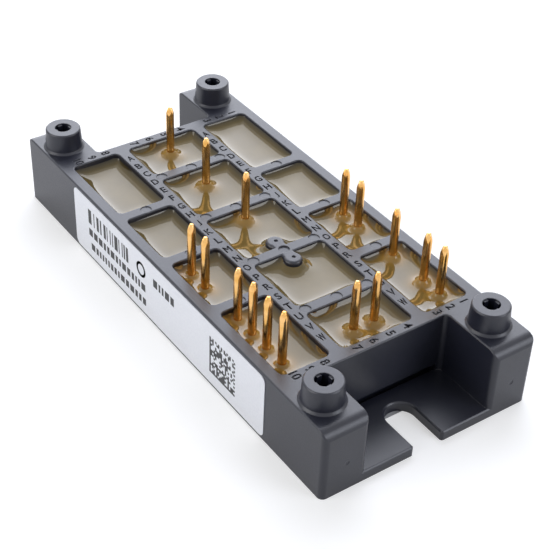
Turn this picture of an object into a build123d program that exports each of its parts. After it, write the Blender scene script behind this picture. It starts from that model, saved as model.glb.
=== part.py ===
"""Three-phase bridge rectifier module with a brake chopper, in millimetres.

X runs along the module, Y across it with the label on the -Y side, Z up through the pins.
The origin is at the middle of the underside, on the face that is clamped to a heat sink.
"""
import os
from math import cos, radians, sin

from build123d import *

os.makedirs("parts", exist_ok=True)

# Housing, outside
body_length = 93.0
body_width = 40.4
rim_height = 13.2
core_length = 69.6
recess_width = 24.0
post_corner_radius = 1.0
post_nose_radius = 2.0
post_nose_step = 0.05
recess_corner_radius = 0.8
outer_edge_radius = 0.25

# Mounting flange at each end, with its open slot
flange_thickness = 1.8
flange_edge_chamfer = 0.25
slot_spacing = 80.0
slot_radius = 2.75
slot_mouth_radius = 0.5

# Relief slit between the flange and the foot of the end wall
slit_width = 1.15
slit_length = 22.0
slit_top = 3.2
slit_inset = 1.4

# Screw domes on the four posts
dome_spacing_x = 80.0
dome_edge_distance = 4.2
dome_height = 3.8
dome_top_radius = 3.13
dome_foot_radius = 3.36
dome_foot_flare = 0.35
dome_top_chamfer = 0.2
screw_hole_radius = 1.45
screw_hole_depth = 12.0
crush_rib_count = 4
crush_rib_width = 0.35
crush_rib_height = 0.2
crush_rib_drop = 0.35

# Moulding core in each post, open below
core_pocket_length = 2.2
core_pocket_width = 5.6
core_pocket_wall = 1.3
core_pocket_roof = 2.2

# Cavity and its ribs
side_wall = 2.07
end_wall = 2.11
long_rib_offset = 8.0
long_rib_width = 2.23
cross_rib_pitch = 14.6
cross_rib_width = 2.15
rib_bottom = 6.5
cell_corner_radius = 1.0
rib_edge_chamfer = 0.15

# Two-lobed boss on one middle rib
lobe_offset = 2.55
lobe_radius = 1.5
lobe_edge_round = 0.45
lobe_neck_width = 2.0
lobe_neck_drop = 0.15

# Substrate: ceramic plate with copper bonded to both faces
bottom_copper_thickness = 0.3
ceramic_thickness = 0.63
track_thickness = 0.3
substrate_wall = 1.0
side_seat_wall = 1.7
substrate_clearance = 0.2
bottom_copper_margin = 0.8
seat_overlap = 0.8
seat_ledge_top = 3.4
adhesive_thickness = 0.1
pocket_corner_radius = 0.5
track_edge_gap = 0.4
track_gap = 1.0
track_corner_radius = 0.4
row_track_margin = 1.3
phase_track_span = 9.6
brake_track_low = -3.0
thermistor_pad = 2.9

# Solder, chips and bond ribbons
die_solder_thickness = 0.08
pin_solder_thickness = 0.1
pin_solder_margin = 0.2
die_thickness = 0.3
diode_size = 6.0
freewheel_size = 5.0
igbt_size = 9.0
thermistor_width = 0.8
thermistor_overlap = 0.6
thermistor_height = 0.7
chip_margin = 0.6
high_chip_offset = 3.6
low_chip_offset = 4.8
freewheel_offset = 5.15
igbt_offset = 2.15
ribbon_thickness = 0.2
ribbon_width = 1.5
control_ribbon_width = 0.5
ribbon_foot = 0.9
ribbon_rise = 1.6
ribbon_slope = 1.4
ribbon_spread = 1.4
emitter_spread = 3.6
ribbon_start = 0.8
control_start_inset = 2.0
high_landing = 3.8
low_landing_inset = 2.6
freewheel_landing_inset = 2.3
control_landing_inset = 1.6

# Terminal pins
pin_top = 21.5
pin_radius = 0.72
pin_point_length = 1.4
pin_tip_radius = 0.5
pin_tip_round = 0.28
pin_point_flat = 0.76
pin_point_turn = 45.0
pin_foot_radius = 1.0
pin_foot_height = 0.5
pin_wall_distance = 2.8
middle_row_offset = 0.25
thermistor_row_offset = 0.2
thermistor_pin_pitch = 4.0

# Distance of each pin from the cross rib beside it
phase_pin_offsets = (-7.6, 4.6, 2.6)
minus_pin_offsets = (3.05, 7.2)
sense_pin_offset = 2.05
gate_pin_offset = 6.15
brake_minus_pin_offsets = (10.15, 14.25)
plus_pin_offsets = (3.3, 7.45)
third_plus_pin_offset = 2.45
brake_output_pin_offsets = (10.45, 14.5)
thermistor_pin_offset = 6.9

# Potting: soft gel over the chips, hard compound above it
gel_top = 5.0
compound_level = 11.2
compound_contact = 12.3
meniscus_width = 1.3
pin_meniscus_height = 0.55
pin_meniscus_width = 0.6

# Label on the long side
label_length = 59.9
label_height = 12.2
label_thickness = 0.08
label_offset = 1.55
label_bottom = 0.45
label_corner_radius = 1.2

# Places that follow from the sizes above
half_length = body_length / 2
half_width = body_width / 2
half_core = core_length / 2
cavity_x = half_core - end_wall
cavity_y = half_width - side_wall
long_rib_inner = long_rib_offset - long_rib_width / 2
long_rib_outer = long_rib_offset + long_rib_width / 2
dome_x = dome_spacing_x / 2
dome_y = half_width - dome_edge_distance
dome_top = rim_height + dome_height
pin_row_y = cavity_y - pin_wall_distance
pocket_x = half_core - slit_inset - substrate_wall
pocket_y = half_width - side_seat_wall
ceramic_x = pocket_x - substrate_clearance
ceramic_y = pocket_y - substrate_clearance
chamber_x = ceramic_x - seat_overlap
chamber_y = ceramic_y - seat_overlap
ceramic_top = bottom_copper_thickness + ceramic_thickness
seat_z = ceramic_top + adhesive_thickness
track_top = ceramic_top + track_thickness
die_bottom = track_top + die_solder_thickness
die_top = die_bottom + die_thickness
pin_bottom = track_top + pin_solder_thickness

# Rib positions: outer rows have three cross ribs, the middle row has four between them
outer_rib_x = [step * cross_rib_pitch for step in (-1, 0, 1)]
middle_rib_x = [step * cross_rib_pitch for step in (-1.5, -0.5, 0.5, 1.5)]
boss_x = middle_rib_x[2]

# Pin positions
phase_ribs = (middle_rib_x[0], middle_rib_x[0], middle_rib_x[1])
phase_x = [rib + offset for rib, offset in zip(phase_ribs, phase_pin_offsets)]
minus_x = [outer_rib_x[1] + offset for offset in minus_pin_offsets]
sense_x = outer_rib_x[2] + sense_pin_offset
gate_x = outer_rib_x[2] + gate_pin_offset
brake_minus_x = [outer_rib_x[2] + offset for offset in brake_minus_pin_offsets]
plus_x = [outer_rib_x[1] + offset for offset in plus_pin_offsets] + [outer_rib_x[2] + third_plus_pin_offset]
brake_output_x = [outer_rib_x[2] + offset for offset in brake_output_pin_offsets]
thermistor_x = middle_rib_x[3] + thermistor_pin_offset
thermistor_y = [thermistor_row_offset + side * thermistor_pin_pitch / 2 for side in (-1, 1)]

terminals = {f"terminal_phase_{n}": (x, middle_row_offset) for n, x in enumerate(phase_x, 1)}
terminals |= {f"terminal_minus_{n}": (x, -pin_row_y) for n, x in enumerate(minus_x, 1)}
terminals |= {f"terminal_brake_minus_{n}": (x, -pin_row_y) for n, x in enumerate(brake_minus_x, 1)}
terminals |= {f"terminal_plus_{n}": (x, pin_row_y) for n, x in enumerate(plus_x, 1)}
terminals |= {f"terminal_brake_output_{n}": (x, pin_row_y) for n, x in enumerate(brake_output_x, 1)}
terminals |= {f"terminal_thermistor_{n}": (thermistor_x, y) for n, y in enumerate(thermistor_y, 1)}
terminals["terminal_emitter_sense"] = (sense_x, -pin_row_y)
terminals["terminal_gate"] = (gate_x, -pin_row_y)


def write(piece, name):
    """Name a finished piece and write it as its own file."""
    piece.part.label = name
    export_step(piece.part, f"parts/{name}.step")


def cells_between(rib_positions, low, high):
    """Centre and size of each cell of one row, between the end walls and its cross ribs."""
    starts = [-cavity_x] + [x + cross_rib_width / 2 for x in rib_positions]
    ends = [x - cross_rib_width / 2 for x in rib_positions] + [cavity_x]
    return [((a + b) / 2, (low + high) / 2, b - a, high - low) for a, b in zip(starts, ends)]


cells = cells_between(outer_rib_x, -cavity_y, -long_rib_outer)
cells += cells_between(middle_rib_x, -long_rib_inner, long_rib_inner)
cells += cells_between(outer_rib_x, long_rib_outer, cavity_y)


def cell_outlines():
    """Draw every cell of the cavity in the sketch."""
    for x, y, length, width in cells:
        with Locations((x, y)):
            RectangleRounded(length, width, cell_corner_radius)


def soft_corner(centre_x, centre_z, radius):
    """Three points from the side to the top of a rounded edge that is too small to need more."""
    angles = [radians(step) for step in (0, 45, 90)]
    return [(centre_x + radius * cos(a), centre_z + radius * sin(a)) for a in angles]


def boss_outline():
    """Draw the two lobes and the neck that joins them across the rib."""
    with Locations((boss_x - lobe_offset, 0), (boss_x + lobe_offset, 0)):
        Circle(lobe_radius)
    with Locations((boss_x, 0)):
        Rectangle(2 * lobe_offset, lobe_neck_width)


# The housing is one moulding: walls, ribs, corner posts, domes and slotted end flanges
with BuildPart() as housing:
    recess_length = half_length - half_core
    recess_centres = [(side * (half_core + recess_length / 2), 0) for side in (-1, 1)]

    # Each flange fills the foot of the recess and runs under the rounded post edges
    flange_width = recess_width + 2 * post_corner_radius
    slot_straight = half_length - slot_spacing / 2
    with BuildSketch() as flange_plan:
        with Locations(*recess_centres):
            Rectangle(recess_length, flange_width)
        for side in (-1, 1):
            with Locations((side * slot_spacing / 2, 0)):
                Circle(slot_radius, mode=Mode.SUBTRACT)
            with Locations((side * (slot_spacing + slot_straight) / 2, 0)):
                Rectangle(slot_straight, 2 * slot_radius, mode=Mode.SUBTRACT)
        mouths = flange_plan.vertices().filter_by(
            lambda v: abs(v.X) > half_length - slot_mouth_radius and abs(v.Y) < 2 * slot_radius
        )
        fillet(mouths, slot_mouth_radius)
    extrude(amount=flange_thickness)
    open_rims = housing.edges().group_by(Axis.Z)[-1].filter_by(
        lambda e: abs(e.center().X) > half_core and abs(e.center().Y) < recess_width / 2
    )
    chamfer(open_rims, flange_edge_chamfer)

    # Core and posts stand round the flanges
    with BuildSketch() as plan:
        Rectangle(body_length, body_width)
        with Locations(*recess_centres):
            Rectangle(recess_length, recess_width, mode=Mode.SUBTRACT)
        end_corners = plan.vertices().filter_by(lambda v: abs(v.X) > half_length - post_corner_radius)
        fillet(end_corners, post_corner_radius)
        inner_corners = plan.vertices().filter_by(lambda v: abs(v.X) < half_core + recess_corner_radius)
        fillet(inner_corners, recess_corner_radius)
    extrude(amount=rim_height)

    # The top end of each post is rounded over, and meets the end face at a faint crease
    with BuildSketch(Plane.XZ):
        nose_x = half_length - post_nose_radius + post_nose_step
        with Locations((nose_x, rim_height - post_nose_radius)):
            Rectangle(post_nose_radius, post_nose_radius, align=(Align.MIN, Align.MIN))
            Circle(post_nose_radius, mode=Mode.SUBTRACT)
        mirror(about=Plane.YZ)
    extrude(amount=body_width, both=True, mode=Mode.SUBTRACT)
    side_rims = housing.edges().filter_by(Axis.X).group_by(Axis.Z)[-1]
    side_rims = side_rims.filter_by(lambda e: abs(e.center().Y) > half_width - post_corner_radius)
    fillet(side_rims, outer_edge_radius)

    # The slit under the foot of each end wall lets the flange bend
    slit_inner = half_core - slit_inset
    with BuildSketch(Plane.XZ):
        with BuildLine():
            Polyline(
                (slit_inner, 0),
                (slit_inner, slit_top),
                (half_core, slit_top),
                (half_core, flange_thickness),
                (slit_inner + slit_width, flange_thickness),
                (slit_inner + slit_width, 0),
                close=True,
            )
        make_face()
        mirror(about=Plane.YZ)
    extrude(amount=slit_length / 2, both=True, mode=Mode.SUBTRACT)

    # Screw domes, each with a blind hole and narrow crush ribs for a self-cutting screw
    dome_places = [(x, y) for x in (-dome_x, dome_x) for y in (-dome_y, dome_y)]
    for x, y in dome_places:
        with BuildSketch(Plane(origin=(x, y, 0), x_dir=(1, 0, 0), z_dir=(0, -1, 0))):
            with BuildLine():
                Polyline(
                    (0, rim_height),
                    (dome_foot_radius + dome_foot_flare, rim_height),
                    (dome_foot_radius, rim_height + dome_foot_flare),
                    (dome_top_radius, dome_top - dome_top_chamfer),
                    (dome_top_radius - dome_top_chamfer, dome_top),
                    (0, dome_top),
                    close=True,
                )
            make_face()
        revolve(axis=Axis((x, y, 0), (0, 0, 1)))
    with Locations(*[(x, y, dome_top) for x, y in dome_places]):
        Hole(screw_hole_radius, depth=screw_hole_depth)
    rib_length = screw_hole_depth - crush_rib_drop
    with Locations(*[(x, y, dome_top - crush_rib_drop - rib_length / 2) for x, y in dome_places]):
        with PolarLocations(screw_hole_radius - crush_rib_height / 2, crush_rib_count):
            Box(2 * crush_rib_height, crush_rib_width, rib_length, mode=Mode.ADD)

    # Moulding cores, open below, keep the thick ends of the posts from sinking
    with BuildSketch():
        for x, y in dome_places:
            end = half_length - core_pocket_wall - core_pocket_length / 2
            with Locations((end if x > 0 else -end, y)):
                Rectangle(core_pocket_length, core_pocket_width)
    extrude(amount=rim_height - core_pocket_roof, mode=Mode.SUBTRACT)

    # Cells above the rib bottoms, one open chamber below them, then the seat for the substrate
    with BuildSketch(Plane.XY.offset(rib_bottom)):
        cell_outlines()
    extrude(amount=rim_height - rib_bottom, mode=Mode.SUBTRACT)
    with BuildSketch(Plane.XY.offset(seat_ledge_top)):
        RectangleRounded(2 * cavity_x, 2 * cavity_y, cell_corner_radius)
    extrude(amount=rib_bottom - seat_ledge_top, mode=Mode.SUBTRACT)
    with BuildSketch():
        RectangleRounded(2 * chamber_x, 2 * chamber_y, cell_corner_radius)
    extrude(amount=seat_ledge_top, mode=Mode.SUBTRACT)
    with BuildSketch():
        RectangleRounded(2 * pocket_x, 2 * pocket_y, pocket_corner_radius)
    extrude(amount=seat_z, mode=Mode.SUBTRACT)
    cell_rims = housing.faces().filter_by(Axis.Z).filter_by(
        lambda f: abs(f.center().Z - rim_height) < rib_edge_chamfer
    )
    cell_rims = cell_rims.sort_by(SortBy.AREA)[-1].inner_wires()
    for rim in cell_rims:
        box = rim.bounding_box()
        if box.size.X < core_length and abs(box.center().X) < cavity_x:
            chamfer(rim.edges(), rib_edge_chamfer)

    # The boss stands on one middle rib, with rounded tops and a lower neck
    with BuildSketch(Plane.XY.offset(rib_bottom)):
        with Locations((boss_x, 0)):
            Rectangle(2 * lobe_offset, lobe_neck_width)
    extrude(amount=rim_height - lobe_neck_drop - rib_bottom)
    for x in (boss_x - lobe_offset, boss_x + lobe_offset):
        with BuildSketch(Plane(origin=(x, 0, 0), x_dir=(1, 0, 0), z_dir=(0, -1, 0))):
            edge_z = rim_height - lobe_edge_round
            rounded = soft_corner(lobe_radius - lobe_edge_round, edge_z, lobe_edge_round)
            with BuildLine():
                Polyline((0, rim_height), (0, rib_bottom), (lobe_radius, rib_bottom), *rounded, close=True)
            make_face()
        revolve(axis=Axis((x, 0, 0), (0, 0, 1)))
write(housing, "housing")


# Ceramic plate, with a copper sheet bonded under it that lies on the heat sink
with BuildPart() as bottom_copper:
    with BuildSketch():
        RectangleRounded(
            2 * (ceramic_x - bottom_copper_margin),
            2 * (ceramic_y - bottom_copper_margin),
            track_corner_radius,
        )
    extrude(amount=bottom_copper_thickness)
write(bottom_copper, "bottom_copper")

with BuildPart() as ceramic_substrate:
    with BuildSketch(Plane.XY.offset(bottom_copper_thickness)):
        Rectangle(2 * ceramic_x, 2 * ceramic_y)
    extrude(amount=ceramic_thickness)
write(ceramic_substrate, "ceramic_substrate")

# Adhesive ring between the plate's edge and the seat in the housing
with BuildPart() as adhesive_ring:
    with BuildSketch(Plane.XY.offset(ceramic_top)):
        Rectangle(2 * ceramic_x, 2 * ceramic_y)
        RectangleRounded(2 * chamber_x, 2 * chamber_y, cell_corner_radius, mode=Mode.SUBTRACT)
    extrude(amount=adhesive_thickness)
write(adhesive_ring, "adhesive_ring")


# Copper tracks on top of the plate, etched from one sheet into islands
track_x = chamber_x - track_edge_gap
track_y = chamber_y - track_edge_gap / 4
row_inner = long_rib_offset + row_track_margin
middle_y = long_rib_offset - track_edge_gap
pin_margin = pin_foot_radius + pin_solder_margin + track_edge_gap
igbt_x = gate_x - igbt_offset
igbt_y = brake_track_low + chip_margin + igbt_size / 2
plus_right = plus_x[-1] + pin_margin
output_left = plus_right + track_gap
brake_left = boss_x + lobe_offset
brake_right = thermistor_x - pin_margin - track_gap
strip_left = igbt_x - igbt_size / 2
strip_top = brake_track_low - track_gap
strip_low = track_gap - row_inner
gate_left = gate_x - pin_margin
gate_right = gate_x + pin_margin
bend_x = gate_right + track_gap
sense_left = sense_x - pin_margin
sense_right = sense_x + pin_margin
minus_right = sense_left - track_gap


def rectangle_points(left, right, low, high):
    """Corners of a plain track, in order."""
    return [(left, low), (right, low), (right, high), (left, high)]


track_outlines = {
    f"track_phase_{n}": rectangle_points(x - pin_margin, x + phase_track_span, -middle_y, middle_y)
    for n, x in enumerate(phase_x, 1)
}
track_outlines["track_plus"] = rectangle_points(-track_x, plus_right, row_inner, track_y)
track_outlines["track_minus"] = rectangle_points(-track_x, minus_right, -track_y, -row_inner)
track_outlines["track_emitter_sense"] = rectangle_points(sense_left, sense_right, -track_y, -row_inner)
track_outlines["track_gate"] = rectangle_points(gate_left, gate_right, -track_y, -row_inner)
track_outlines["track_brake_output"] = [
    (brake_left, brake_track_low), (brake_right, brake_track_low), (brake_right, row_inner),
    (track_x, row_inner), (track_x, track_y), (output_left, track_y),
    (output_left, middle_y), (brake_left, middle_y),
]
track_outlines["track_brake_minus"] = [
    (strip_left, strip_low), (bend_x, strip_low), (bend_x, -track_y),
    (track_x, -track_y), (track_x, strip_top), (strip_left, strip_top),
]
for n, y in enumerate(thermistor_y, 1):
    track_outlines[f"track_thermistor_{n}"] = rectangle_points(
        thermistor_x - pin_margin, track_x, y - thermistor_pad / 2, y + thermistor_pad / 2
    )

tracks = []
for name, corners in track_outlines.items():
    with BuildPart() as track:
        with BuildSketch(Plane.XY.offset(ceramic_top)) as outline:
            with BuildLine():
                Polyline(*corners, close=True)
            make_face()
            fillet(outline.vertices(), track_corner_radius)
        extrude(amount=track_thickness)
    write(track, name)
    tracks.append(track)


# Chips: a high-side and a low-side diode for each phase, the brake switch and its diode
diode_edge = row_inner + chip_margin
high_x = [x + high_chip_offset for x in phase_x]
low_x = [x + low_chip_offset for x in phase_x]
high_y = diode_edge + diode_size / 2
low_y = -chip_margin - diode_size / 2
freewheel_x = plus_x[1] + freewheel_offset
freewheel_y = diode_edge + freewheel_size / 2

dies = {f"rectifier_diode_high_{n}": (x, high_y, diode_size) for n, x in enumerate(high_x, 1)}
dies |= {f"rectifier_diode_low_{n}": (x, low_y, diode_size) for n, x in enumerate(low_x, 1)}
dies["freewheel_diode"] = (freewheel_x, freewheel_y, freewheel_size)
dies["brake_igbt"] = (igbt_x, igbt_y, igbt_size)

chips = []
for name, (x, y, size) in dies.items():
    with BuildPart() as die:
        with BuildSketch(Plane.XY.offset(die_bottom)):
            with Locations((x, y)):
                Rectangle(size, size)
        extrude(amount=die_thickness)
    write(die, name)
    chips.append(die)

# Thermistor: a ceramic chip that bridges its two tracks
thermistor_gap = thermistor_pin_pitch - thermistor_pad
thermistor_length = thermistor_gap + 2 * thermistor_overlap
thermistor_chip_x = thermistor_x + pin_foot_radius + pin_solder_margin + thermistor_width / 2
with BuildPart() as thermistor:
    with BuildSketch(Plane.XY.offset(die_bottom)):
        with Locations((thermistor_chip_x, thermistor_row_offset)):
            Rectangle(thermistor_width, thermistor_length)
    extrude(amount=thermistor_height)
write(thermistor, "thermistor")
chips.append(thermistor)

# Solder under the chips
with BuildPart() as die_solder:
    with BuildSketch(Plane.XY.offset(track_top)):
        for x, y, size in dies.values():
            with Locations((x, y)):
                Rectangle(size, size)
        for side in (-1, 1):
            end = thermistor_row_offset + side * (thermistor_length - thermistor_overlap) / 2
            with Locations((thermistor_chip_x, end)):
                Rectangle(thermistor_width, thermistor_overlap)
    extrude(amount=die_solder_thickness)
write(die_solder, "die_solder")

# Solder under the feet of the pins
with BuildPart() as pin_solder:
    with BuildSketch(Plane.XY.offset(track_top)):
        with Locations(*terminals.values()):
            Circle(pin_foot_radius + pin_solder_margin)
    extrude(amount=pin_solder_thickness)
write(pin_solder, "pin_solder")


# Terminal pins: round wire with a foot to solder and a swaged point with four coined flats
pins = []
for name, (x, y) in terminals.items():
    point_start = pin_top - pin_point_length
    with BuildPart() as pin:
        with Locations((x, y, point_start)):
            Cone(pin_radius, pin_tip_radius, pin_point_length, align=(Align.CENTER, Align.CENTER, Align.MIN))
        fillet(pin.edges().group_by(Axis.Z)[-1], radius=pin_tip_round)
        with BuildSketch(Plane.XY.offset(point_start)):
            with Locations((x, y)):
                Rectangle(2 * pin_radius, 2 * pin_radius, rotation=pin_point_turn)
        with BuildSketch(Plane.XY.offset(pin_top)):
            with Locations((x, y)):
                Rectangle(pin_point_flat, pin_point_flat, rotation=pin_point_turn)
        loft(mode=Mode.INTERSECT)
        with BuildSketch(Plane.XY.offset(pin_bottom)):
            with Locations((x, y)):
                Circle(pin_radius)
        extrude(amount=point_start - pin_bottom)
        with BuildSketch(Plane.XY.offset(pin_bottom)):
            with Locations((x, y)):
                Circle(pin_foot_radius)
        extrude(amount=pin_foot_height)
    write(pin, name)
    pins.append(pin)


def ribbon_group(runs, width):
    """Aluminium bond ribbons, each bent in a plane of constant X from a chip top to a track."""
    with BuildPart() as group:
        for x, start, end in runs:
            way = 1 if end > start else -1
            crest = die_top + ribbon_rise
            lower = [
                (start, die_top),
                (start + way * ribbon_foot, die_top),
                (start + way * (ribbon_foot + ribbon_slope), crest),
                (end - way * (ribbon_foot + ribbon_slope), crest),
                (end - way * ribbon_foot, track_top),
                (end, track_top),
            ]
            upper = [(y, z + ribbon_thickness) for y, z in reversed(lower)]
            with BuildSketch(Plane.YZ.offset(x)):
                with BuildLine():
                    Polyline(*lower, *upper, close=True)
                make_face()
            extrude(amount=width / 2, both=True)
    return group


# Bond ribbons: two on each rectifier chip, one on the freewheel diode, the rest on the brake switch
low_landing = -row_inner - low_landing_inset
freewheel_landing = middle_y - freewheel_landing_inset
strip_landing = (strip_top + strip_low - ribbon_foot) / 2
control_landing = -row_inner - control_landing_inset
control_start = igbt_y - igbt_size / 2 + control_start_inset
pair = (-ribbon_spread, ribbon_spread)
trio = (-emitter_spread, 0, emitter_spread)
high_runs = [(x + dx, high_y - ribbon_start, high_landing) for x in high_x for dx in pair]
low_runs = [(x + dx, low_y + ribbon_start, low_landing) for x in low_x for dx in pair]
freewheel_runs = [(freewheel_x - ribbon_start, freewheel_y - ribbon_start, freewheel_landing)]
emitter_runs = [(igbt_x + dx, igbt_y - ribbon_start, strip_landing) for dx in trio]
control_runs = [(x, control_start, control_landing) for x in (sense_x, gate_x)]
ribbon_sets = {
    "bond_ribbons_high_side": (high_runs, ribbon_width),
    "bond_ribbons_low_side": (low_runs, ribbon_width),
    "bond_ribbon_freewheel": (freewheel_runs, ribbon_width),
    "bond_ribbons_emitter": (emitter_runs, ribbon_width),
    "bond_ribbons_control": (control_runs, control_ribbon_width),
}
ribbons = []
for name, (runs, width) in ribbon_sets.items():
    ribbon_set = ribbon_group(runs, width)
    write(ribbon_set, name)
    ribbons.append(ribbon_set)


# Soft gel fills the chamber over the tracks, chips and ribbons
with BuildPart() as soft_gel:
    with BuildSketch(Plane.XY.offset(ceramic_top)):
        RectangleRounded(2 * chamber_x, 2 * chamber_y, cell_corner_radius)
    extrude(amount=seat_ledge_top - ceramic_top)
    with BuildSketch(Plane.XY.offset(seat_ledge_top)):
        RectangleRounded(2 * cavity_x, 2 * cavity_y, cell_corner_radius)
    extrude(amount=gel_top - seat_ledge_top)
    for piece in tracks + chips + ribbons + pins + [die_solder, pin_solder]:
        add(piece.part, mode=Mode.SUBTRACT)
write(soft_gel, "soft_gel")

# Hard compound above it, drawn up a little at the walls and round each pin
with BuildPart() as potting_compound:
    with BuildSketch(Plane.XY.offset(gel_top)):
        RectangleRounded(2 * cavity_x, 2 * cavity_y, cell_corner_radius)
    extrude(amount=rib_bottom - gel_top)
    with BuildSketch(Plane.XY.offset(rib_bottom)):
        cell_outlines()
    extrude(amount=compound_contact - rib_bottom)
    meniscus_radius = max(cell_corner_radius - meniscus_width, cell_corner_radius / 4)
    for x, y, length, width in cells:
        with BuildSketch(Plane.XY.offset(compound_level)):
            with Locations((x, y)):
                RectangleRounded(length - 2 * meniscus_width, width - 2 * meniscus_width, meniscus_radius)
        with BuildSketch(Plane.XY.offset(compound_contact)):
            with Locations((x, y)):
                RectangleRounded(length, width, cell_corner_radius)
        loft(mode=Mode.SUBTRACT)
    # Each pin's cone of raised liquid runs on inside the pin, so that the pin trims its top
    cone_foot = pin_radius + pin_meniscus_width
    cone_tip = pin_radius / 2
    cone_height = pin_meniscus_height * (cone_foot - cone_tip) / pin_meniscus_width
    with Locations(*[(x, y, compound_level) for x, y in terminals.values()]):
        Cone(cone_foot, cone_tip, cone_height, align=(Align.CENTER, Align.CENTER, Align.MIN))
    with BuildSketch(Plane.XY.offset(rib_bottom)):
        boss_outline()
    extrude(amount=compound_contact - rib_bottom, mode=Mode.SUBTRACT)
    for pin in pins:
        add(pin.part, mode=Mode.SUBTRACT)
write(potting_compound, "potting_compound")


# Paper label stuck on the long side
with BuildPart() as label:
    with BuildSketch(Plane.XZ.offset(half_width)):
        with Locations((label_offset, label_bottom + label_height / 2)):
            RectangleRounded(label_length, label_height, label_corner_radius)
    extrude(amount=label_thickness)
write(label, "label")
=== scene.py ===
"""Three-phase bridge rectifier module: the looks of each piece, from the heat sink side upwards."""
import math
import random

import bmesh
import bpy
import numpy as np
from mathutils import Matrix, Vector, noise


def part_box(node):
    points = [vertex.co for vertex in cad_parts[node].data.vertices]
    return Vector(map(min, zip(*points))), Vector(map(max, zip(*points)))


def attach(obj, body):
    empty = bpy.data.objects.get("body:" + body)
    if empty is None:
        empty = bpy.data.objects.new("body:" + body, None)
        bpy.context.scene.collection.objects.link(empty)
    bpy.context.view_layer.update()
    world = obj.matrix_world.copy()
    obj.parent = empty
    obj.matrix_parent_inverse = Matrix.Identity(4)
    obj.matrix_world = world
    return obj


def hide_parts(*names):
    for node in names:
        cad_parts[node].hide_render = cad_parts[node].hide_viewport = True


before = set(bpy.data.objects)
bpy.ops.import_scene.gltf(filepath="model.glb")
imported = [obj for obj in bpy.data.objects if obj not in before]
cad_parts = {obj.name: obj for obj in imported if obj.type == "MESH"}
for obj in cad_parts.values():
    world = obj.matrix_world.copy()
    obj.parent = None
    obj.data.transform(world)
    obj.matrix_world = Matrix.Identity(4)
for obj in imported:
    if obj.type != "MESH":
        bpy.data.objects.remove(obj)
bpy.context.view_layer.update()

# Copper: a rolled sheet bonded under the ceramic plate, and the tracks etched on top of it.
# The rolls leave faint lines along the sheet, drawn coarser than real so that they show,
# and the air leaves it a little browner in places.
ROLL_LINE_MM = 0.35
ROLL_LINE_DEPTH_MM = 0.004
ALONG_SHEET = (0.03, 1.0, 1.0)
TARNISH_MM = 9.0


def linear(code):
    """Linear colour of an sRGB hex code, with alpha."""
    shares = [int(code[i:i + 2], 16) / 255 for i in (1, 3, 5)]
    return [s / 12.92 if s <= 0.04045 else ((s + 0.055) / 1.055) ** 2.4 for s in shares] + [1.0]


def add(tree, kind, values=None, links=None, **settings):
    """Add one node: settings are its options, values its own sockets, links what feeds the others."""
    made = tree.nodes.new(kind)
    for option, choice in settings.items():
        setattr(made, option, choice)
    for socket, value in (values or {}).items():
        made.inputs[socket].default_value = value
    for socket, source in (links or {}).items():
        tree.links.new(source, made.inputs[socket])
    return made


def new_finish(name):
    """Start a material, and give its node tree and the place on the object in millimetres."""
    finish = bpy.data.materials.new(name)
    finish.use_nodes = True
    tree = finish.node_tree
    tree.nodes.clear()
    metres = add(tree, "ShaderNodeTexCoord").outputs["Object"]
    place = add(tree, "ShaderNodeVectorMath", {"Scale": 1000.0}, {0: metres}, operation="SCALE")
    return finish, tree, place.outputs[0]


def close_finish(tree, values, links):
    """End a material with its surface shader."""
    shader = add(tree, "ShaderNodeBsdfPrincipled", values, links)
    add(tree, "ShaderNodeOutputMaterial", links={"Surface": shader.outputs["BSDF"]})


def grain(tree, place, size_mm, stretch=(1.0, 1.0, 1.0), detail=2.0):
    """Noise with features of a real size, drawn out along an axis where stretch is below 1."""
    drawn = add(tree, "ShaderNodeVectorMath", {1: stretch}, {0: place}, operation="MULTIPLY")
    values = {"Scale": 1 / size_mm, "Detail": detail}
    return add(tree, "ShaderNodeTexNoise", values, {"Vector": drawn.outputs[0]}).outputs["Fac"]


def blend_colours(tree, share, low, high, start=0.35, end=0.65):
    """Two sRGB colours mixed by a noise, with full strength of each outside start and end."""
    made = add(tree, "ShaderNodeValToRGB", links={"Fac": share})
    made.color_ramp.elements[0].position, made.color_ramp.elements[1].position = start, end
    made.color_ramp.elements[0].color, made.color_ramp.elements[1].color = linear(low), linear(high)
    return made.outputs["Color"]


def spread(tree, share, low, high):
    """A number that a noise moves between two values."""
    values = {"From Min": 0.3, "From Max": 0.7, "To Min": low, "To Max": high}
    return add(tree, "ShaderNodeMapRange", values, {"Value": share}).outputs["Result"]


def relief(tree, height, depth_mm, under=None):
    """Bump of a real depth, over another normal where one is given."""
    values = {"Strength": 1.0, "Distance": depth_mm / 1000}
    links = {"Height": height} | ({"Normal": under} if under else {})
    return add(tree, "ShaderNodeBump", values, links).outputs["Normal"]


def dress(names, finish):
    """Give carried-over parts their finish."""
    for name in names:
        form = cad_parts[name].data
        form.materials.clear()
        form.materials.append(finish)


rolled_copper, tree, place = new_finish("rolled_copper")
tarnish = grain(tree, place, TARNISH_MM, detail=4.0)
rolling = grain(tree, place, ROLL_LINE_MM, ALONG_SHEET)
close_finish(tree, {"Metallic": 1.0}, {
    "Base Color": blend_colours(tree, tarnish, "#B8704C", "#D08C66"),
    "Roughness": spread(tree, rolling, 0.26, 0.42),
    "Normal": relief(tree, rolling, ROLL_LINE_DEPTH_MM),
})
tracks = [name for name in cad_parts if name.startswith("track_")]
dress(["bottom_copper"] + tracks, rolled_copper)

# Ceramic plate: sintered alumina, off-white, with the dry, slightly grainy face of a fired sheet.
# Its grains are drawn coarser than real, so that they show.
ALUMINA_GRAIN_MM = 0.25
ALUMINA_GRAIN_DEPTH_MM = 0.006

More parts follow.
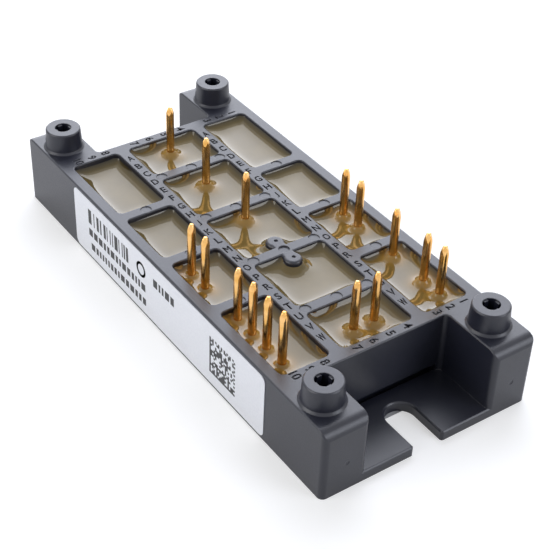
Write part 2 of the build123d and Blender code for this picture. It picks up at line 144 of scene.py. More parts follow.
sintered_alumina, tree, place = new_finish("sintered_alumina")
fired = grain(tree, place, ALUMINA_GRAIN_MM, detail=3.0)
close_finish(tree, {"Roughness": 0.55, "IOR": 1.7}, {
    "Base Color": blend_colours(tree, fired, "#D6D2C6", "#E6E3DA"),
    "Normal": relief(tree, fired, ALUMINA_GRAIN_DEPTH_MM),
})
dress(["ceramic_substrate"], sintered_alumina)

# Chips: silicon with a metallised top, soldered to the tracks, and a dark fired thermistor chip.
# They lie under the potting, like the solder and the ribbons.
SAW_MARK_MM = 0.2
ALONG_SAW = (1.0, 0.05, 1.0)
SOLDER_FROST_MM = 0.5
SOLDER_FROST_DEPTH_MM = 0.01

# The sputtered metal top is bright and even, with faint marks of the saw.
metallised_silicon, tree, place = new_finish("metallised_silicon")
sawn = grain(tree, place, SAW_MARK_MM, ALONG_SAW)
close_finish(tree, {"Metallic": 0.85}, {
    "Base Color": blend_colours(tree, sawn, "#8E9196", "#A8ABB0"),
    "Roughness": spread(tree, sawn, 0.18, 0.3),
})
chips = [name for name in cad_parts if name.startswith("rectifier_diode_")]
dress(chips + ["freewheel_diode", "brake_igbt"], metallised_silicon)

# The thermistor is fired oxide, dry and nearly black.
fired_thermistor, tree, place = new_finish("fired_thermistor_ceramic")
speckle = grain(tree, place, SAW_MARK_MM)
close_finish(tree, {"Roughness": 0.6}, {"Base Color": blend_colours(tree, speckle, "#2E2825", "#463C36")})
dress(["thermistor"], fired_thermistor)

# Solder sets with a dull, frosted skin.
tin_solder, tree, place = new_finish("tin_solder")
frost = grain(tree, place, SOLDER_FROST_MM, detail=3.0)
close_finish(tree, {"Metallic": 1.0}, {
    "Base Color": blend_colours(tree, frost, "#A4A5A6", "#BFC0C0"),
    "Roughness": spread(tree, frost, 0.3, 0.5),
    "Normal": relief(tree, frost, SOLDER_FROST_DEPTH_MM),
})
dress(["die_solder", "pin_solder"], tin_solder)

# Bond ribbons: bright aluminium, rolled flat and welded to the chips by ultrasound.
# Rolling leaves fine streaks along each ribbon.
ROLLED_RIBBON_MM = 0.08
ALONG_RIBBON = (1.0, 0.04, 0.04)

rolled_aluminium, tree, place = new_finish("rolled_aluminium")
streak = grain(tree, place, ROLLED_RIBBON_MM, ALONG_RIBBON)
close_finish(tree, {"Metallic": 1.0}, {
    "Base Color": blend_colours(tree, streak, "#CFD0D1", "#E2E3E4"),
    "Roughness": spread(tree, streak, 0.2, 0.34),
})
dress([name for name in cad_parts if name.startswith("bond_ribbon")], rolled_aluminium)

# Soft gel over the chips, poured in clear, and the bead of silicone that holds the plate in the housing.
# The gel cures glassy and faintly cloudy, and the bead cures grey and satin.
GEL_CLOUD_MM = 3.0
BEAD_GRAIN_MM = 0.4
BEAD_GRAIN_DEPTH_MM = 0.02

silicone_gel, tree, place = new_finish("clear_silicone_gel")
cloud = grain(tree, place, GEL_CLOUD_MM)
close_finish(tree, {"Roughness": 0.12, "IOR": 1.41, "Transmission Weight": 0.5},
             {"Base Color": blend_colours(tree, cloud, "#D2CDBF", "#E0DCD0")})
dress(["soft_gel"], silicone_gel)

silicone_bead, tree, place = new_finish("cured_silicone_bead")
skin = grain(tree, place, BEAD_GRAIN_MM)
close_finish(tree, {"Roughness": 0.45, "IOR": 1.41}, {
    "Base Color": blend_colours(tree, skin, "#7E7F80", "#929393"),
    "Normal": relief(tree, skin, BEAD_GRAIN_DEPTH_MM),
})
dress(["adhesive_ring"], silicone_bead)

# Terminal pins: drawn copper wire with a soldered foot, a swaged bullet point with four flats and a
# gold-coloured plating. Drawing leaves fine lines along the wire, which stretch every highlight into a
# long streak. They are drawn coarser than real, so that they show.
PIN_RADIUS = 0.72
FOOT_HEIGHT = 0.5
POINT_HEIGHT = 1.6
POINT_END_RADIUS = 0.19
POINT_END_FLAT = 0.27
POINT_BULGE = 1.5
POINT_TURN = 45.0
PIN_SIDES = 48
POINT_RINGS = 16
PIN_SHARP_DEGREES = 40
DRAWN_LINE_MM = 0.12
DRAWN_LINE_DEPTH_MM = 0.0012
ALONG_WIRE = (1.0, 1.0, 0.03)
PLATING_PATCH_MM = 1.6

plated_wire, tree, place = new_finish("gold_plated_wire")
drawn_lines = grain(tree, place, DRAWN_LINE_MM, ALONG_WIRE)
patch = grain(tree, place, PLATING_PATCH_MM, detail=3.0)
close_finish(tree, {"Metallic": 1.0}, {
    "Base Color": blend_colours(tree, patch, "#E6AE5E", "#F4C482"),
    "Roughness": spread(tree, patch, 0.14, 0.23),
    "Normal": relief(tree, drawn_lines, DRAWN_LINE_DEPTH_MM),
})


def own_object(name, form, finish):
    """Put a mesh in the scene as a piece of its own, moving with the module."""
    form.materials.clear()
    form.materials.append(finish)
    piece = bpy.data.objects.new(name, form)
    bpy.context.scene.collection.objects.link(piece)
    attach(piece, "root")
    return piece


def stacked_rings(name, rings):
    """Closed mesh through rings of points, from the bottom one upwards, with a flat cap at each end."""
    count = len(rings[0])
    wall = [[low * count + i, low * count + (i + 1) % count,
             (low + 1) * count + (i + 1) % count, (low + 1) * count + i]
            for low in range(len(rings) - 1) for i in range(count)]
    caps = [list(range(count))[::-1], [(len(rings) - 1) * count + i for i in range(count)]]
    form = bpy.data.meshes.new(name)
    form.from_pydata(sum(rings, []), [], wall + caps)
    return form


def swaged_pin(x, y, bottom, top, foot_radius):
    """Closed mesh of a pin: foot, round wire and a point that draws in like a bullet between four flats."""
    turns = np.linspace(0, 2 * math.pi, PIN_SIDES, endpoint=False)
    towards_flat = (turns - math.radians(POINT_TURN) + math.pi / 4) % (math.pi / 2) - math.pi / 4
    sections = [(foot_radius, foot_radius, bottom), (foot_radius, foot_radius, bottom + FOOT_HEIGHT),
                (PIN_RADIUS, PIN_RADIUS, bottom + FOOT_HEIGHT)]
    for step in np.linspace(0, 1, POINT_RINGS):
        bullet = POINT_END_RADIUS + (PIN_RADIUS - POINT_END_RADIUS) * math.sqrt(1 - step ** 2)
        flat = PIN_RADIUS - (PIN_RADIUS - POINT_END_FLAT) * step ** POINT_BULGE
        sections.append((bullet, flat, top - POINT_HEIGHT * (1 - step)))
    rings = []
    for bullet, flat, z in sections:
        radii = np.minimum(bullet, flat / np.cos(towards_flat))
        rings.append([((x + r * math.cos(a)) / 1000, (y + r * math.sin(a)) / 1000, z / 1000)
                      for r, a in zip(radii, turns)])
    form = stacked_rings("pin", rings)
    form.shade_smooth()
    form.set_sharp_from_angle(angle=math.radians(PIN_SHARP_DEGREES))
    return form


pins = [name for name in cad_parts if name.startswith("terminal_")]
for name in pins:
    low, high = (corner * 1000 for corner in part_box(name))
    form = swaged_pin((low.x + high.x) / 2, (low.y + high.y) / 2, low.z, high.z, (high.x - low.x) / 2)
    pin = own_object(name + "_wire", form, plated_wire)
    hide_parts(name)

# Housing: one moulding of glass-filled polyester, slate grey, from a spark-eroded mould.
# The mould leaves a fine matt skin, engraved grid letters and the round marks of its ejector pins.
# The skin's grain is drawn coarser than real, so that it shows.
RIM_TOP = 13.2
LONG_RIB_Y = 8.0
LETTERS = "ABCDEFGHJKLMNOPRSTUVW"
LETTER_PITCH = 2.93
LETTER_START = -29.8
LETTER_HEIGHT = 1.6
LETTER_WIDTH = 1.15
LETTER_NARROWING = 0.95
STROKE_GROWTH = 0.016
CURVE_STEPS = 4
ENGRAVED_DEPTH = 0.22
DIGIT_X = 33.75
DIGIT_Y = {"1": 16.35, "2": 13.6, "3": 10.95, "4": 4.9, "5": 1.55, "6": -1.7, "7": -4.9,
           "8": -10.95, "9": -13.7, "10": -16.4}
EJECTOR_RADIUS = 0.95
EJECTOR_DEPTH = 0.14
EJECTOR_SIDES = 28
BOSS_CENTRE = (7.3, 0.0)
MIDDLE_MARKS = [(x, y) for x in (-21.9, -7.3, 7.3, 21.9) for y in (-6.1, 0.0, 6.1) if (x, y) != BOSS_CENTRE]
OUTER_MARKS = [(x, y) for x in (-14.6, 0.0, 14.6) for y in (-13.6, 13.6)]
LOBE_OFFSET = 2.6
LOBE_RADIUS = 1.62
NECK_HALF_WIDTH = 1.3
NECK_FILLET = 0.9
BOSS_EDGE = 0.55
BOSS_FOOT_Z = 11.0
BOSS_MARK_DEPTH = 0.24
LOBE_STEPS, NECK_STEPS, EDGE_STEPS = 14, 6, 7
LOBE_PIT_RADIUS = 0.34
LOBE_PIT_SHIFT = 0.15
DOMES = [(x, y) for x in (-40.0, 40.0) for y in (-16.0, 16.0)]
DOME_TOP = 17.0
HOLE_RADIUS = 1.45
LEDGE_WIDTH = 0.85
LEDGE_REACH = 0.34
LEDGE_ROOT = 0.3
LEDGE_DROP = 0.25
LEDGE_HEIGHT = 3.0
END_MARKS = [(side * 46.5, y, 5.6) for side in (-1, 1) for y in (-15.8, 16.2)]
END_MARK_RADIUS = 0.4
END_MARK_DEPTH = 0.06
SMALL_MARK_SIDES = 16
MERGE_M = 1e-7
SKIN_GRAIN_MM = 0.16
SKIN_GRAIN_DEPTH_MM = 0.006
FLOW_MM = 14.0
ALONG_FLOW = (0.6, 1.0, 1.0)
MOULD_EDGE_MM = 0.2
MOULDING_SHARP_DEGREES = 32


def sunk_sign(cutter, sign, x, y, turn):
    """Add one character to the cutter, as a prism through the top of the rib."""
    drawn = bpy.data.curves.new("sign", "FONT")
    drawn.body, drawn.extrude, drawn.resolution_u, drawn.offset = sign, 0.5, CURVE_STEPS, STROKE_GROWTH
    holder = bpy.data.objects.new("sign", drawn)
    form = bpy.data.meshes.new_from_object(holder)
    corners = np.array([v.co for v in form.vertices])
    low, high = corners.min(0), corners.max(0)
    middle, size = (low + high) / 2, high - low
    up = LETTER_HEIGHT / size[1]
    across = min(up * LETTER_NARROWING, LETTER_WIDTH * len(sign) / size[0])
    form.transform(
        Matrix.Translation((x / 1000, y / 1000, RIM_TOP / 1000))
        @ Matrix.Rotation(math.radians(turn), 4, "Z")
        @ Matrix.Diagonal((across / 1000, up / 1000, 2 * ENGRAVED_DEPTH / 1000, 1))
        @ Matrix.Translation(-Vector(middle))
    )
    cutter.from_mesh(form)
    bpy.data.objects.remove(holder)
    bpy.data.meshes.remove(form)


def sunk_disc(cutter, place, radius, depth, turn=Matrix.Identity(4), sides=EJECTOR_SIDES):
    """Add a short cylinder to the cutter, half in and half out of the face."""
    bmesh.ops.create_cone(cutter, cap_ends=True, segments=sides, radius1=radius / 1000, radius2=radius / 1000,
                          depth=2 * depth / 1000, matrix=Matrix.Translation(Vector(place) / 1000) @ turn)


def boss_outline(inset):
    """Outline of the boss, drawn in by an inset: a lobe's arc and its hollow fillet, mirrored all round."""
    lobe, neck, hollow = LOBE_RADIUS - inset, NECK_HALF_WIDTH - inset, NECK_FILLET + inset
    fillet_x = math.sqrt((lobe + hollow) ** 2 - (neck + hollow) ** 2)
    touch = math.atan2(neck + hollow, -fillet_x)
    around = np.linspace(0, touch, LOBE_STEPS)
    swept = np.linspace(touch - math.pi, -math.pi / 2, NECK_STEPS)[1:]
    quarter = [(LOBE_OFFSET + lobe * math.cos(a), lobe * math.sin(a)) for a in around]
    quarter += [(LOBE_OFFSET - fillet_x + hollow * math.cos(a), neck + hollow + hollow * math.sin(a))
                for a in swept]
    half = quarter + [(-x, y) for x, y in reversed(quarter)]
    return half + [(x, -y) for x, y in reversed(half[1:-1])]


def rounded_boss():
    """Closed mesh of the boss: a straight wall, then rings that follow the rounded edge, and a flat top."""
    levels = [(0.0, BOSS_FOOT_Z)]
    for turn in np.linspace(0, math.pi / 2, EDGE_STEPS):
        levels.append((BOSS_EDGE * (1 - math.cos(turn)), RIM_TOP - BOSS_EDGE * (1 - math.sin(turn))))
    return stacked_rings("boss", [[((BOSS_CENTRE[0] + x) / 1000, (BOSS_CENTRE[1] + y) / 1000, z / 1000)
                                   for x, y in boss_outline(inset)] for inset, z in levels])


moulded_polyester, tree, place = new_finish("glass_filled_polyester")
skin = grain(tree, place, SKIN_GRAIN_MM, detail=3.0)
flow = grain(tree, place, FLOW_MM, ALONG_FLOW, detail=5.0)
soft_edge = add(tree, "ShaderNodeBevel", {"Radius": MOULD_EDGE_MM / 1000}, samples=6).outputs["Normal"]
close_finish(tree, {"IOR": 1.52}, {
    "Base Color": blend_colours(tree, flow, "#1A1C27", "#20222E"),
    "Roughness": spread(tree, skin, 0.32, 0.42),
    "Normal": relief(tree, skin, SKIN_GRAIN_DEPTH_MM, soft_edge),
})

cutter = bmesh.new()
for side in (-1, 1):
    for step, letter in enumerate(LETTERS):
        sunk_sign(cutter, letter, LETTER_START + step * LETTER_PITCH, side * LONG_RIB_Y, 90)
    for digit, y in DIGIT_Y.items():
        sunk_sign(cutter, digit, side * DIGIT_X, y, 0)
for x, y in MIDDLE_MARKS + OUTER_MARKS:
    sunk_disc(cutter, (x, y, RIM_TOP), EJECTOR_RADIUS, EJECTOR_DEPTH)
sunk_disc(cutter, (*BOSS_CENTRE, RIM_TOP), EJECTOR_RADIUS, BOSS_MARK_DEPTH)
for side in (-1, 1):
    pit = (BOSS_CENTRE[0] + side * LOBE_OFFSET, BOSS_CENTRE[1] + LOBE_PIT_SHIFT, RIM_TOP)
    sunk_disc(cutter, pit, LOBE_PIT_RADIUS, BOSS_MARK_DEPTH, sides=SMALL_MARK_SIDES)
for spot in END_MARKS:
    sunk_disc(cutter, spot, END_MARK_RADIUS, END_MARK_DEPTH, Matrix.Rotation(math.radians(90), 4, "Y"),
              SMALL_MARK_SIDES)
bmesh.ops.remove_doubles(cutter, verts=cutter.verts, dist=MERGE_M)
engraving_form = bpy.data.meshes.new("engraving")
cutter.to_mesh(engraving_form)
cutter.free()

ledges = bmesh.new()
ledges.from_mesh(rounded_boss())
ledge_size = (LEDGE_REACH + LEDGE_ROOT, LEDGE_WIDTH, LEDGE_HEIGHT)
ledge_scale = Matrix.Diagonal((*(size / 1000 for size in ledge_size), 1))
for x, y in DOMES:
    for quarter in range(4):
        turn = Matrix.Rotation(math.radians(90 * quarter), 4, "Z")
        out = turn @ Vector((HOLE_RADIUS - LEDGE_REACH + ledge_size[0] / 2, 0, 0))
        middle = Vector((x, y, DOME_TOP - LEDGE_DROP - LEDGE_HEIGHT / 2)) + out
        bmesh.ops.create_cube(ledges, size=1.0, matrix=Matrix.Translation(middle / 1000) @ turn @ ledge_scale)
added_form = bpy.data.meshes.new("boss_and_ledges")
ledges.to_mesh(added_form)
ledges.free()

joined = bmesh.new()
joined.from_mesh(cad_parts["housing"].data)
bmesh.ops.remove_doubles(joined, verts=joined.verts, dist=MERGE_M)
joined.verts.index_update()
corners, faces = [v.co[:] for v in joined.verts], [[v.index for v in f.verts] for f in joined.faces]
joined.free()
moulding_form = bpy.data.meshes.new("housing_moulding")
moulding_form.from_pydata(corners, [], faces)
moulding = own_object("housing_moulding", moulding_form, moulded_polyester)
tools = []
for form, operation in ((added_form, "UNION"), (engraving_form, "DIFFERENCE")):
    tool = bpy.data.objects.new(form.name, form)
    bpy.context.scene.collection.objects.link(tool)
    step = moulding.modifiers.new(form.name, "BOOLEAN")
    step.object, step.operation, step.solver, step.use_self = tool, operation, "EXACT", True
    tools.append(tool)
engraved = bpy.data.meshes.new_from_object(moulding.evaluated_get(bpy.context.evaluated_depsgraph_get()))
moulding.modifiers.clear()
moulding.data = engraved
for tool in tools:
    bpy.data.objects.remove(tool)
engraved.shade_smooth()
engraved.set_sharp_from_angle(angle=math.radians(MOULDING_SHARP_DEGREES))
even = moulding.modifiers.new("even_faces", "WEIGHTED_NORMAL")
even.keep_sharp, even.weight = True, 100
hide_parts("housing")

# Potting compound: hard amber-grey epoxy, cast into the thirteen cells and cured with a glassy face.
# While liquid it climbed the walls, the boss and the pins, a little higher in some places than in others.
CAVITY_X, CAVITY_Y = 32.69, 18.13
LONG_RIB_INNER, LONG_RIB_OUTER = 6.885, 9.115
HALF_CROSS_RIB = 1.075
CELL_CORNER = 1.0
# Each row of cells: its two walls, its cross ribs, the liquid's level, its height at the walls,
# and how far it climbed the pins and how wide.
CELL_ROWS = [
    (-CAVITY_Y, -LONG_RIB_OUTER, (-14.6, 0.0, 14.6), 11.0, 12.3, 0.6, 0.5),
    (-LONG_RIB_INNER, LONG_RIB_INNER, (-21.9, -7.3, 7.3, 21.9), 11.2, 12.7, 1.15, 0.85),
    (LONG_RIB_OUTER, CAVITY_Y, (-14.6, 0.0, 14.6), 11.35, 12.7, 1.0, 0.6),
]
HIGHEST_WET = RIM_TOP - 0.2
WALL_REACH = 1.05
# How far the painted shade reaches out from the walls.
WALL_SHADE_REACH = 0.8
# How far the painted golden reflection reaches out from each pin.
PIN_REFLECTION_REACH = 1.5
WANDER_MM = 8.0
WANDER_HEIGHT = 0.2
LOBE_RISE = 1.1
FLOOR_Z = 6.4
OVERLAP = 0.05
WALL_LINES = [-OVERLAP, 0.0, 0.07, 0.15, 0.25, 0.37, 0.52, 0.7, 0.9]
GRID_STEP = 0.2
FILL_SHARP_DEGREES = 50
CLOUD_MM = 5.0
RIPPLE_MM = 7.0
RIPPLE_DEPTH_MM = 0.02

# The epoxy is amber where it is deep. Around each pin a painted golden reflection of the pin is added, and
# towards the walls a painted shade darkens it.
cast_epoxy, tree, place = new_finish("cast_epoxy")
cloud = grain(tree, place, CLOUD_MM, detail=3.0)
ripple = grain(tree, place, RIPPLE_MM, detail=1.0)
# Shares of the painted shade along the walls and of the painted pin reflection, kept on the mesh's points.
wall_shade = add(tree, "ShaderNodeAttribute", attribute_name="wall_shade").outputs["Fac"]
glow = add(tree, "ShaderNodeAttribute", attribute_name="glow").outputs["Fac"]
body = blend_colours(tree, cloud, "#6C5B2E", "#776536")
# The first colour is a painted reflection of the pins, the second a painted shade along the walls.
pin_reflection_colour, dark = {"B": linear("#B08838")}, {"B": linear("#352F22")}
with_pin_reflection = add(tree, "ShaderNodeMix", pin_reflection_colour, {"Factor": glow, "A": body}, data_type="RGBA")
wall_shaded = add(tree, "ShaderNodeMix", dark, {"Factor": wall_shade, "A": with_pin_reflection.outputs[2]}, data_type="RGBA")
close_finish(tree, {"Roughness": 0.05, "IOR": 1.475, "Specular Tint": linear("#FEF9ED")}, {
    "Base Color": wall_shaded.outputs[2],
    "Normal": relief(tree, ripple, RIPPLE_DEPTH_MM),
})


def grid_lines(half):
    """Places of the grid lines across a cell, closer together where the surface bends up to the wall."""
    steps = math.ceil((half - WALL_LINES[-1]) / GRID_STEP)
    left = np.concatenate([WALL_LINES, np.linspace(WALL_LINES[-1], half, steps + 1)[1:]]) - half
    return np.concatenate([left, -left[-2::-1]])


def poured_cell(x0, x1, y0, y1, level, contact, pin_rise, pin_reach, pin_places):
    """Points and faces of one cell's fill: a closed block whose top follows the liquid's own shape."""
    middle = np.array([(x0 + x1) / 2, (y0 + y1) / 2])
    half = np.array([x1 - x0, y1 - y0]) / 2
    across, along = grid_lines(half[0]) + middle[0], grid_lines(half[1]) + middle[1]
    x, y = (values.ravel() for values in np.meshgrid(across, along, indexing="ij"))
    inset = np.abs(np.stack([x, y], 1) - middle)
    wander = np.array([noise.noise(Vector((a / WANDER_MM, b / WANDER_MM, level))) for a, b in zip(x, y)])
    walls = np.cosh(inset / WALL_REACH) / np.cosh(half / WALL_REACH)
    rise = (contact - level + WANDER_HEIGHT * wander) * np.hypot(*walls.T)
    corner = CELL_CORNER - np.hypot(*np.maximum(inset - (half - CELL_CORNER), 0).T)
    edge = np.minimum(corner, (half - inset).min(1))
    # Painted shade, darkest where the fill meets the walls; the painted pin reflections start at nothing.
    wall_shade, glow = np.exp(-np.maximum(edge, 0) / WALL_SHADE_REACH), np.zeros(len(x))
    for px, py in pin_places:
        away = np.maximum(np.hypot(x - px, y - py) - PIN_RADIUS, 0)
        rise = np.hypot(rise, pin_rise * np.exp(-away / pin_reach))
        # Painted golden reflection of this pin, fading away from it.
        glow = np.maximum(glow, np.exp(-(away / PIN_REFLECTION_REACH) ** 2))
    for side in (-1, 1):
        from_lobe = np.hypot(x - BOSS_CENTRE[0] - side * LOBE_OFFSET, y - BOSS_CENTRE[1])
        away = np.maximum(from_lobe - LOBE_RADIUS, 0)
        rise = np.hypot(rise, LOBE_RISE * np.exp(-away / WALL_REACH))
    z = np.minimum(level + rise, HIGHEST_WET)
    nx, ny = len(across), len(along)
    index = np.arange(nx * ny).reshape(nx, ny)
    quads = np.stack([index[:-1, :-1], index[1:, :-1], index[1:, 1:], index[:-1, 1:]], -1)
    loop = list(index[:, 0]) + list(index[-1, 1:]) + list(index[-2::-1, -1]) + list(index[0, -2:0:-1])
    below = nx * ny + np.arange(len(loop))
    after = loop[1:] + loop[:1]
    sides = [[loop[i], below[i], below[(i + 1) % len(loop)], after[i]] for i in range(len(loop))]
    points = np.stack([x, y, z], 1)
    foot = np.stack([x[loop], y[loop], np.full(len(loop), FLOOR_Z)], 1)
    painted_shares = np.pad(np.stack([wall_shade, glow]), ((0, 0), (0, len(loop))))
    return np.vstack([points, foot]) / 1000, quads.reshape(-1, 4).tolist() + sides + [list(below[::-1])], painted_shares


pin_spots = []
for name in pins:
    low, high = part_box(name)
    pin_spots.append(((low.x + high.x) * 500, (low.y + high.y) * 500))
points, faces, painted_shares, count = [], [], [], 0
for y0, y1, cross_ribs, *pour in CELL_ROWS:
    starts = [-CAVITY_X] + [x + HALF_CROSS_RIB for x in cross_ribs]
    ends = [x - HALF_CROSS_RIB for x in cross_ribs] + [CAVITY_X]
    for x0, x1 in zip(starts, ends):
        inside = [(x, y) for x, y in pin_spots if x0 < x < x1 and y0 < y < y1]
        cell_points, cell_faces, cell_painted_shares = poured_cell(x0, x1, y0, y1, *pour, inside)
        points.append(cell_points)
        faces += [[int(i) + count for i in face] for face in cell_faces]
        painted_shares.append(cell_painted_shares)
        count += len(cell_points)
fill_form = bpy.data.meshes.new("cast_compound")
fill_form.from_pydata(np.vstack(points).tolist(), [], faces)
# Keep the shares of the painted shade and the painted pin reflection on the points, for the epoxy's colour.
for name, shares in zip(("wall_shade", "glow"), np.hstack(painted_shares).astype(np.float32)):
    fill_form.attributes.new(name, "FLOAT", "POINT").data.foreach_set("value", shares)
fill_form.shade_smooth()
fill_form.set_sharp_from_angle(angle=math.radians(FILL_SHARP_DEGREES))
fill = own_object("cast_compound", fill_form, cast_epoxy)
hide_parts("potting_compound")

# Label: coated white paper, glued to the long side and printed in black by a thermal printer.
# The coating is smooth and slightly bluish white, with a hint of the fibres, drawn coarser than real.
LABEL_FACE_Y = -20.28
INK_MM = 0.012
PAPER_FIBRE_MM = 0.3
PAPER_FIBRE_DEPTH_MM = 0.003
CODE_PLACE = (16.3, 2.8)
CODE_SIZE = 7.3
CODE_CELLS = 18
TEXT_ROWS = [(-23.3, -3.0, 5.1, 6.6), (-22.7, -3.6, 2.2, 3.6), (-1.0, 6.3, 8.3, 9.9)]
BLOCK_WIDTHS, BLOCK_GAP, NARROWEST_BLOCK = (0.55, 0.8, 1.05, 1.3), 0.45, 0.5
BAR_FIELD = (-23.3, -9.3, 7.7, 10.7)
BAR_WIDTHS, BAR_GAPS, NARROWEST_BAR = (0.3, 0.45, 0.75, 1.1), (0.35, 0.5, 0.8), 0.4
RING_CENTRE = (-5.0, 9.2)
RING_RADII = (1.0, 1.5)
RING_SIDES = 40
PRINT_SEED = 11

coated_paper, tree, place = new_finish("coated_label_paper")
fibre = grain(tree, place, PAPER_FIBRE_MM, detail=3.0)
close_finish(tree, {"Roughness": 0.42, "IOR": 1.5}, {
    "Base Color": blend_colours(tree, fibre, "#ECEEF5", "#F1F3F9"),
    "Normal": relief(tree, fibre, PAPER_FIBRE_DEPTH_MM),
})
dress(["label"], coated_paper)

# The ink is black resin off a ribbon, satin and very thin.
thermal_ink, tree, place = new_finish("thermal_transfer_ink")
dots = grain(tree, place, PAPER_FIBRE_MM)
close_finish(tree, {"IOR": 1.5}, {
    "Base Color": blend_colours(tree, dots, "#17171A", "#232327"),
    "Roughness": spread(tree, dots, 0.4, 0.55),
})

ink = bmesh.new()
rng = random.Random(PRINT_SEED)


def inked(x0, x1, z0, z1):
    """Add one thin printed field to the label's print."""
    size = Matrix.Diagonal(((x1 - x0) / 1000, INK_MM / 1000, (z1 - z0) / 1000, 1))
    centre = Vector(((x0 + x1) / 2, LABEL_FACE_Y - INK_MM / 2, (z0 + z1) / 2)) / 1000
    bmesh.ops.create_cube(ink, size=1.0, matrix=Matrix.Translation(centre) @ size)


for x0, x1, z0, z1 in TEXT_ROWS:
    x = x0
    while x < x1 - NARROWEST_BLOCK:
        width = min(rng.choice(BLOCK_WIDTHS), x1 - x)
        inked(x, x + width, z0, z1)
        x += width + BLOCK_GAP
x = BAR_FIELD[0]
while x < BAR_FIELD[1] - NARROWEST_BAR:
    width = min(rng.choice(BAR_WIDTHS), BAR_FIELD[1] - x)
    inked(x, x + width, BAR_FIELD[2], BAR_FIELD[3])
    x += width + rng.choice(BAR_GAPS)
cell = CODE_SIZE / CODE_CELLS
for row in range(CODE_CELLS):
    dark = [True] + [rng.random() < 0.5 for _ in range(CODE_CELLS - 2)] + [row % 2 == 0]
    if row == 0:
        dark = [True] * CODE_CELLS
    if row == CODE_CELLS - 1:
        dark = [column % 2 == 0 for column in range(CODE_CELLS)]
    column = 0
    while column < CODE_CELLS:
        run = 0
        while column + run < CODE_CELLS and dark[column + run]:
            run += 1
        if run:
            left, foot = CODE_PLACE[0] + column * cell, CODE_PLACE[1] + row * cell
            inked(left, left + run * cell, foot, foot + cell)
        column += max(run, 1)
turn = Matrix.Translation(Vector((RING_CENTRE[0], LABEL_FACE_Y - INK_MM / 2, RING_CENTRE[1])) / 1000)
upright = turn @ Matrix.Rotation(math.radians(90), 4, "X")
ring = bmesh.ops.create_circle(ink, cap_ends=False, segments=RING_SIDES, radius=RING_RADII[0] / 1000,
                               matrix=upright)["verts"]
ring_edges = list({edge for vert in ring for edge in vert.link_edges})
drawn_out = bmesh.ops.extrude_edge_only(ink, edges=ring_edges)["geom"]
outer = [part for part in drawn_out if isinstance(part, bmesh.types.BMVert)]
hub = turn.translation
for vert in outer:
    vert.co = hub + (vert.co - hub) * (RING_RADII[1] / RING_RADII[0])
band = list({face for vert in outer for face in vert.link_faces})
bmesh.ops.solidify(ink, geom=band, thickness=INK_MM / 2000)
bmesh.ops.recalc_face_normals(ink, faces=ink.faces)
print_form = bpy.data.meshes.new("label_print")
ink.to_mesh(print_form)
ink.free()
label_print = own_object("label_print", print_form, thermal_ink)

# Studio: a white sheet as floor, white surroundings, two large soft lamps behind the module that its faces
# mirror, a small one past the near end and a weaker one on the side of the label. The sheet is lifted to white
# for rays that see it, but not under the module.
STAGE_SIZE = 3.0
FLOOR_LIFT = 0.5
MODULE_HALF_X = 0.038
MODULE_HALF_Y = 0.020
WORLD_DIM = 0.15
SOFTBOXES = [
    ("back_softbox", (-0.54, 0.38, 0.46), 0.78, 3.25, "#EFF3FF"),
    ("back_scrim", (-0.60, 0.42, 0.50), 1.5, 0.9, "#EFF3FF"),
    ("near_end_lamp", (0.56, 0.36, 0.32), 0.36, 5.0, "#EEF3FF"),
    ("label_side_softbox", (-0.15, -0.85, 0.42), 0.7, 3.4, "#FFFFFF"),
]

sweep = bpy.data.materials.new("white_sweep")
sweep.use_nodes = True
tree = sweep.node_tree
tree.nodes.clear()


def seen_rays(tree):
    """1 for rays that show the surroundings themselves: seen straight, mirrored or through glass."""
    rays = add(tree, "ShaderNodeLightPath").outputs
    seen = rays["Is Camera Ray"]
    for kind in ("Is Glossy Ray", "Is Transmission Ray"):
        seen = add(tree, "ShaderNodeMath", links={0: seen, 1: rays[kind]}, operation="MAXIMUM").outputs[0]
    return seen


paper = add(tree, "ShaderNodeBsdfDiffuse", {"Color": linear("#D2D2D2")})
metres = add(tree, "ShaderNodeTexCoord").outputs["Object"]
within = add(tree, "ShaderNodeVectorMath", links={0: metres}, operation="ABSOLUTE")
half_sizes = (MODULE_HALF_X, MODULE_HALF_Y, 1.0)
beyond = add(tree, "ShaderNodeVectorMath", {1: half_sizes}, {0: within.outputs[0]}, operation="SUBTRACT")
sides = add(tree, "ShaderNodeSeparateXYZ", links={0: beyond.outputs[0]})
furthest = add(tree, "ShaderNodeMath", links={0: sides.outputs[0], 1: sides.outputs[1]}, operation="MAXIMUM")
clear = add(tree, "ShaderNodeMath", {1: 0.0}, {0: furthest.outputs[0]}, operation="GREATER_THAN")
bright = add(tree, "ShaderNodeMath", links={0: clear.outputs[0], 1: seen_rays(tree)}, operation="MULTIPLY")
lift = add(tree, "ShaderNodeMath", {1: FLOOR_LIFT}, {0: bright.outputs[0]}, operation="MULTIPLY")
glow = add(tree, "ShaderNodeEmission", links={"Strength": lift.outputs[0]})
sheet = add(tree, "ShaderNodeAddShader", links={0: paper.outputs[0], 1: glow.outputs[0]})
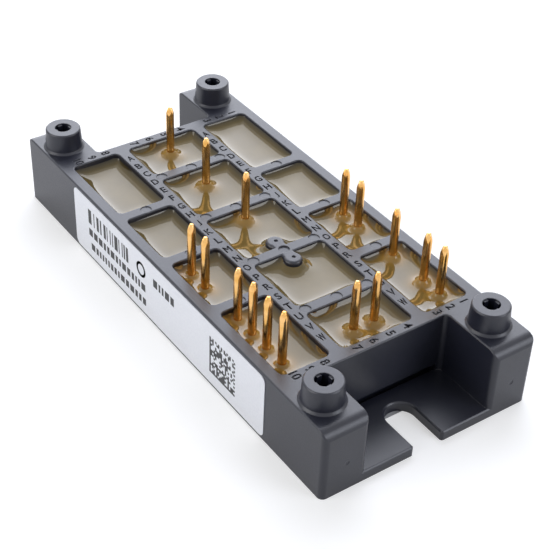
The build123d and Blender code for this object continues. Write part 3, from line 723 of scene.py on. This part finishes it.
add(tree, "ShaderNodeOutputMaterial", links={"Surface": sheet.outputs[0]})
floor_form = bpy.data.meshes.new("floor")
reach = STAGE_SIZE / 2
corners = [(-reach, -reach, 0), (reach, -reach, 0), (reach, reach, 0), (-reach, reach, 0)]
floor_form.from_pydata(corners, [], [(0, 1, 2, 3)])
floor_form.materials.append(sweep)
floor = bpy.data.objects.new("floor", floor_form)
bpy.context.scene.collection.objects.link(floor)

world = bpy.data.worlds.new("studio")
bpy.context.scene.world = world
world.use_nodes = True
tree = world.node_tree
tree.nodes.clear()
dim = add(tree, "ShaderNodeBackground", {"Color": linear("#FFFFFF"), "Strength": WORLD_DIM})
white = add(tree, "ShaderNodeBackground", {"Color": linear("#FFFFFF"), "Strength": 1.0})
either = add(tree, "ShaderNodeMixShader", links={0: seen_rays(tree), 1: dim.outputs[0], 2: white.outputs[0]})
add(tree, "ShaderNodeOutputWorld", links={"Surface": either.outputs[0]})

# Each lamp is square, turned to the module, and has its brightness as seen from there.
for name, place, size, brightness, tint in SOFTBOXES:
    lamp = bpy.data.lights.new(name, "AREA")
    lamp.shape, lamp.size = "SQUARE", size
    lamp.energy = brightness * math.pi * size ** 2
    lamp.color = linear(tint)[:3]
    holder = bpy.data.objects.new(name, lamp)
    holder.location = place
    holder.rotation_euler = (-Vector(place)).to_track_quat("-Z", "Y").to_euler()
    holder.visible_camera = False
    bpy.context.scene.collection.objects.link(holder)

# Camera: where the photograph was taken from, looking down on the near end and the label.
# Its place, turn and lens are fitted to the outline, the slots and the domes in the photograph.
CAMERA_LENS_MM = 87.362
CAMERA_PLACE = (0.149933, -0.105315, 0.145346)
CAMERA_TURN = (52.1432, -1.8765, 55.443)

view = bpy.data.cameras.new("camera")
view.lens = CAMERA_LENS_MM
camera = bpy.data.objects.new("camera", view)
camera.location = CAMERA_PLACE
camera.rotation_euler = [math.radians(a) for a in CAMERA_TURN]
bpy.context.scene.collection.objects.link(camera)
bpy.context.scene.camera = camera
bpy.context.scene.view_settings.view_transform = "Standard"
